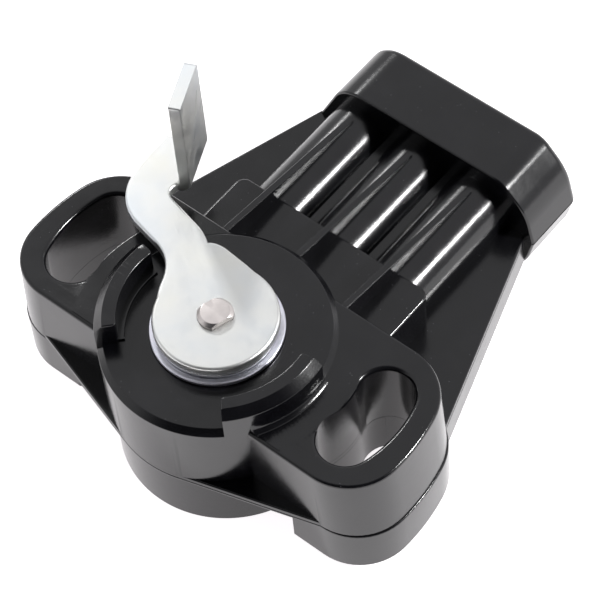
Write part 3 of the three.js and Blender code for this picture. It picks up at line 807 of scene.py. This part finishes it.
def lever():
    low, top = LEVER_LOW, LEVER_TOP
    disc = [(0, low), (LEVER_R, low), (LEVER_R, top), (0, top)]
    body = turned(rounded(disc, [0, 0.35, 0.7, 0], 5), 160)
    join(body, plate(lever_outline(), low, top, 0.35, 0.6), tab())
    return cut(body, double_d(SHAFT_R + 0.05, SHAFT_FLAT + 0.05, low - 1, top + 1))


def shaft():
    r = SHAFT_R
    profile = [(0, 4.4), (r, 4.4), (r, 27.3), (3.3, 27.3), (3.3, 28.3), (r, 28.3)]
    profile += [(r, LEVER_LOW - 1.4), (0, LEVER_LOW - 1.4)]
    body = turned(rounded(profile, [0, 0.5, 0, 0, 0, 0, 0, 0], 3), 96)
    end = double_d(r, SHAFT_FLAT, LEVER_LOW - 1.5, SHAFT_TOP)
    bevel = [(0, 30), (r + 1, 30), (r + 1, SHAFT_TOP - 1.75), (r - 0.75, SHAFT_TOP), (0, SHAFT_TOP)]
    end = common(end, turned(rounded(bevel, [0, 0, 0, 0.3, 0], 4), 96))
    return join(body, end)


def washer(r, hole, z0, z1, edge=0.2):
    return turned(rounded([(hole, z0), (r, z0), (r, z1), (hole, z1)], [0, edge, edge, 0.1], 3), 144)


# ---- build ----


def build():
    piece(upper_housing(), "upper_housing_shell", NYLON, "housing", "housing_nylon", "upper_housing")
    piece(lower_cover(), "lower_cover_shell", NYLON, "housing", "housing_nylon", "lower_cover")
    piece(lever(), "throttle_lever", ZINC, "lever", "zinc_plate", "lever_arm")
    piece(shaft(), "flatted_shaft", SHAFT, "lever", "shaft_steel", "rotor_shaft")
    steel_ring = cut(
        washer(13.6, 1.0, LEVER_LOW - 1.2, LEVER_LOW - 0.3),
        double_d(SHAFT_R + 0.05, SHAFT_FLAT + 0.05, LEVER_LOW - 3, LEVER_LOW),
    )
    piece(steel_ring, "spacer_washer", BRIGHT, "lever", "bright_steel", "lever_washer")
    wide = washer(14.9, SHAFT_R + 0.3, DRUM_TOP + 0.3, DRUM_TOP + 1.5, 0.35)
    piece(wide, "wide_washer", PALE, "lever", "pale_washer", "thrust_washer")
    for name, x in (("left", -PITCH), ("centre", 0), ("right", PITCH)):
        piece(terminal(x), f"blade_{name}", TIN, "housing", "tin_plate", f"terminal_{name}")
    piece(connector_seal(), "socket_seal", BLUE, "housing", "blue_seal", "connector_seal")
    for i, place in enumerate(SCREWS, 1):
        piece(cover_screw(*place), f"pan_screw_{i}", SCREW, "housing", "screw_steel", f"cover_screw_{i}")
    finishes = {
        "perimeter_seal": RED,
        "shaft_seal": RUBBER,
        "upper_bushing": BRONZE,
        "lower_bushing": BRONZE,
        "retaining_clip": SPRING,
        "rotor": CREAM,
        "wiper_inner": WIPER,
        "wiper_outer": WIPER,
        "return_spring": SPRING,
        "resistor_board": BOARD,
        "track_inner": CARBON,
        "track_outer": CARBON,
    }
    for name, material in finishes.items():
        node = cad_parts[name]
        node.data.materials.clear()
        node.data.materials.append(material)


# ---- floor, light and camera ----


def stage():
    """A pale table that glows a little, more at the front, so that it burns out to white."""
    size = 6.0
    corners = [(-size, -size, 0), (size, -size, 0), (size, size, 0), (-size, size, 0)]
    floor = make("floor", [tuple(c / MM for c in v) for v in corners], [(0, 1, 2, 3)])
    m = Nodes("pale_table", Roughness=0.9)
    m.link(m.ramp(m.noise(400, 2), (0.3, 0.80), (0.7, 0.82)), m.shader.inputs["Base Color"])
    m.shader.inputs["Emission Color"].default_value = (1.0, 0.965, 0.985, 1)
    split = m.add("ShaderNodeSeparateXYZ")
    m.link(m.place, split.inputs["Vector"])
    front = m.math("SUBTRACT", 0.5, m.math("MULTIPLY", split.outputs["Y"], 2.2))
    glow = m.ramp(front, (0.0, 0.62), (1.0, 1.25))
    m.link(glow, m.shader.inputs["Emission Strength"])
    floor.data.materials.append(m.material)


def softbox(name, direction, distance, side, power):
    """A square light that faces the object from a direction, at a distance in metres."""
    target = (0, 0.03, 0.02)
    light = bpy.data.lights.new(name, "AREA")
    light.shape = "RECTANGLE"
    light.size, light.size_y = side, side
    light.energy = power
    obj = bpy.data.objects.new(name, light)
    scene.collection.objects.link(obj)
    way = Vector(direction).normalized()
    obj.location = Vector(target) + way * distance
    obj.rotation_mode = "QUATERNION"
    obj.rotation_quaternion = way.to_track_quat("Z", "Y")


def tent():
    """A pale light tent that darkens toward the front right and above."""
    world = bpy.data.worlds.new("tent")
    scene.world = world
    world.use_nodes = True
    tree = world.node_tree
    nodes, link = tree.nodes, tree.links.new
    back = nodes["Background"]
    place = nodes.new("ShaderNodeTexCoord")
    dot = nodes.new("ShaderNodeVectorMath")
    dot.operation = "DOT_PRODUCT"
    dark_way = Vector((0.60, -0.62, 0.50)).normalized()
    dot.inputs[1].default_value = dark_way
    link(place.outputs["Generated"], dot.inputs[0])
    ramp = nodes.new("ShaderNodeValToRGB")
    ramp.color_ramp.interpolation = "EASE"
    ramp.color_ramp.elements[0].position = 0.30
    ramp.color_ramp.elements[0].color = (0.98, 0.98, 1.0, 1)
    ramp.color_ramp.elements[1].position = 0.75
    ramp.color_ramp.elements[1].color = (0.06, 0.06, 0.065, 1)
    link(dot.outputs["Value"], ramp.inputs["Fac"])
    link(ramp.outputs["Color"], back.inputs["Color"])
    back.inputs["Strength"].default_value = 0.80


def camera():
    """The view from the front right, high up, with the world leaning a little to the left."""
    a, e, roll = (math.radians(v) for v in (43.96, 56.02, -5.78))
    right = Vector((math.cos(a), math.sin(a), 0))
    forward = Vector((-math.sin(a) * math.cos(e), math.cos(a) * math.cos(e), -math.sin(e)))
    up = right.cross(forward)
    across = right * math.cos(roll) + up * math.sin(roll)
    above = -right * math.sin(roll) + up * math.cos(roll)
    distance, sideways, upwards = 605.8, 16.6, 18.0
    aim = Vector((0, 0, PARTING)) + across * sideways + above * upwards
    eye = aim - forward * distance
    cam = bpy.data.objects.new("camera", bpy.data.cameras.new("camera"))
    scene.collection.objects.link(cam)
    rotation = Matrix((across, above, -forward)).transposed().to_4x4()
    cam.matrix_world = Matrix.Translation(eye * MM) @ rotation
    cam.data.sensor_width = 36
    cam.data.lens = 163.56
    cam.data.clip_start, cam.data.clip_end = 0.05, 20
    scene.camera = cam


stage()
tent()
softbox("key", (0.75, 0.40, 0.535), distance=1.0, side=0.10, power=10)
softbox("back", (-0.70, 0.40, 0.59), distance=1.5, side=0.14, power=4)
camera()
scene.view_settings.view_transform = "Standard"
build()
